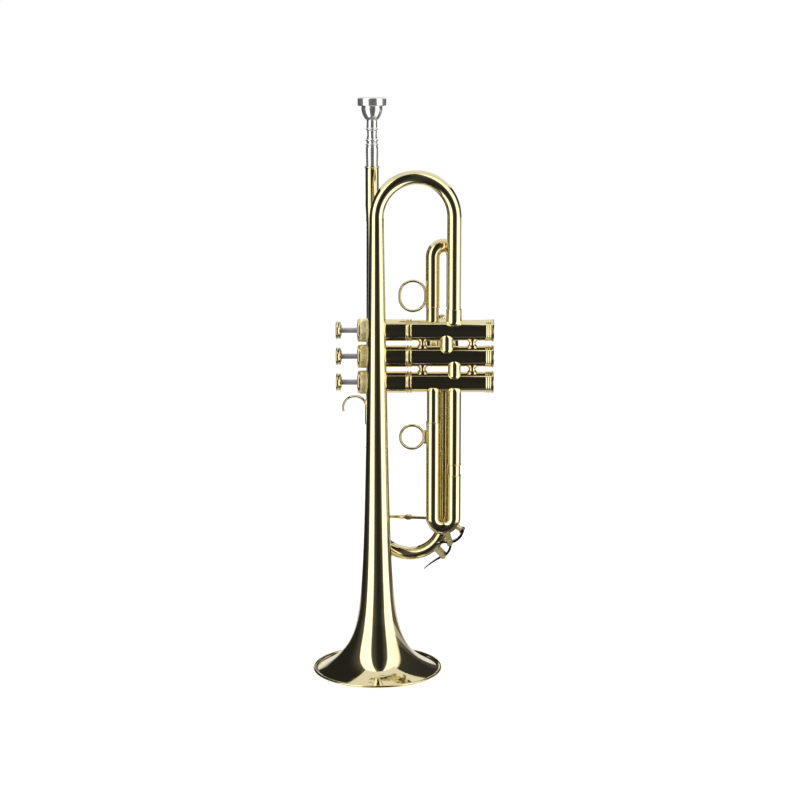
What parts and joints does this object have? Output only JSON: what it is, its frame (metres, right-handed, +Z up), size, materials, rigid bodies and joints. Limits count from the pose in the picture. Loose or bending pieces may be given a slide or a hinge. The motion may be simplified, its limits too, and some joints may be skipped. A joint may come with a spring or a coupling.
{
  "type": "trumpet",
  "caption": "Piston valve trumpet standing on its bell, with pulling slides, finger rings, water keys and a silver mouthpiece that lifts out.",
  "frame": {"origin": "centre of the bell's rim plane, on the bell's axis", "axes": "+Z up the bell's axis from the rim to the bow, +X along the valves from the finger buttons to the bottom caps, +Y from the bell across the valves to the leadpipe"},
  "size_m": [0.1714, 0.1302, 0.5414],
  "materials": {
    "lacquered_brass": "polished under clear lacquer",
    "slide_brass": "polished under clear lacquer",
    "fitting_brass": "polished",
    "key_brass": "dark polished",
    "plated_steel": "nickel plated",
    "silver_plate": "silver plated",
    "spring_steel": "drawn wire",
    "pearl": "mother-of-pearl",
    "felt": "felt",
    "cork": "cork",
    "nylon": "moulded"
  },
  "bodies": {
    "horn": {"bell": "lacquered_brass", "rim_wire": "spring_steel", "receiver": "lacquered_brass", "leadpipe": "lacquered_brass", "tuning_slide_tubes": "slide_brass", "casing_1": "lacquered_brass", "casing_2": "lacquered_brass", "casing_3": "lacquered_brass", "casing_spacers": "lacquered_brass", "knuckles": "lacquered_brass", "top_cap_1": "lacquered_brass", "top_cap_2": "lacquered_brass", "top_cap_3": "lacquered_brass", "bottom_cap_1": "lacquered_brass", "bottom_cap_2": "lacquered_brass", "bottom_cap_3": "lacquered_brass", "cap_felts": "felt", "valve_guides": "nylon", "valve_spring_1": "spring_steel", "valve_spring_2": "spring_steel", "valve_spring_3": "spring_steel", "first_slide_tubes": "slide_brass", "second_slide_tubes": "slide_brass", "third_slide_tubes": "slide_brass", "bell_braces": "lacquered_brass", "casing_braces": "lacquered_brass", "finger_hook": "lacquered_brass"},
    "valve_1": {"piston_1": "plated_steel", "stem_1": "plated_steel", "button_1": "lacquered_brass", "pearl_1": "pearl", "stem_felt_1": "felt"},
    "valve_2": {"piston_2": "plated_steel", "stem_2": "plated_steel", "button_2": "lacquered_brass", "pearl_2": "pearl", "stem_felt_2": "felt"},
    "valve_3": {"piston_3": "plated_steel", "stem_3": "plated_steel", "button_3": "lacquered_brass", "pearl_3": "pearl", "stem_felt_3": "felt"},
    "tuning_slide": {"tuning_slide": "slide_brass", "tuning_brace": "lacquered_brass", "tuning_key_saddle": "fitting_brass", "tuning_key_screw": "fitting_brass", "tuning_key_spring": "spring_steel"},
    "tuning_key": {"tuning_key": "key_brass", "tuning_key_cork": "cork"},
    "first_slide": {"first_slide": "slide_brass", "first_ring": "lacquered_brass"},
    "second_slide": {"second_slide": "slide_brass"},
    "third_slide": {"third_slide": "slide_brass", "third_ring": "lacquered_brass", "third_key_saddle": "fitting_brass", "third_key_screw": "fitting_brass", "third_key_spring": "spring_steel"},
    "third_key": {"third_key": "key_brass", "third_key_cork": "cork"},
    "mouthpiece": {"mouthpiece": "silver_plate"}
  },
  "joints": [
    {"name": "valve_1_press", "type": "slide", "parent": "horn", "child": "valve_1", "axis": [1, 0, 0], "range_m": [0, 0.014], "stiffness_N_per_m": 120, "springref_m": -0.02, "deforming": ["valve_spring_1"]},
    {"name": "valve_2_press", "type": "slide", "parent": "horn", "child": "valve_2", "axis": [1, 0, 0], "range_m": [0, 0.014], "stiffness_N_per_m": 120, "springref_m": -0.02, "deforming": ["valve_spring_2"]},
    {"name": "valve_3_press", "type": "slide", "parent": "horn", "child": "valve_3", "axis": [1, 0, 0], "range_m": [0, 0.014], "stiffness_N_per_m": 120, "springref_m": -0.02, "deforming": ["valve_spring_3"]},
    {"name": "first_slide_pull", "type": "slide", "parent": "horn", "child": "first_slide", "axis": [0, 0, 1], "range_m": [0, 0.018]},
    {"name": "second_slide_pull", "type": "slide", "parent": "horn", "child": "second_slide", "axis": [0, 0.8192, 0.5736], "range_m": [0, 0.012]},
    {"name": "third_slide_pull", "type": "slide", "parent": "horn", "child": "third_slide", "axis": [0, 0, -1], "range_m": [0, 0.02]},
    {"name": "tuning_slide_pull", "type": "slide", "parent": "horn", "child": "tuning_slide", "axis": [0, 0, -1], "range_m": [0, 0.025]},
    {"name": "mouthpiece_lift", "type": "slide", "parent": "horn", "child": "mouthpiece", "axis": [0, 0, 1], "range_m": [0, 0.025]},
    {"name": "tuning_key_lift", "type": "hinge", "parent": "tuning_slide", "child": "tuning_key", "pos_m": [0.06394, 0.02886, 0.10383], "axis": [0.1742, 0.9847, 0], "range_deg": [0, 18], "stiffness_Nm_per_rad": 0.05, "springref_deg": -20.05},
    {"name": "third_key_lift", "type": "hinge", "parent": "third_slide", "child": "third_key", "pos_m": [0.06955, 0.01535, 0.12051], "axis": [0, 1, 0], "range_deg": [0, 18], "stiffness_Nm_per_rad": 0.05, "springref_deg": -20.05}
  ]
}
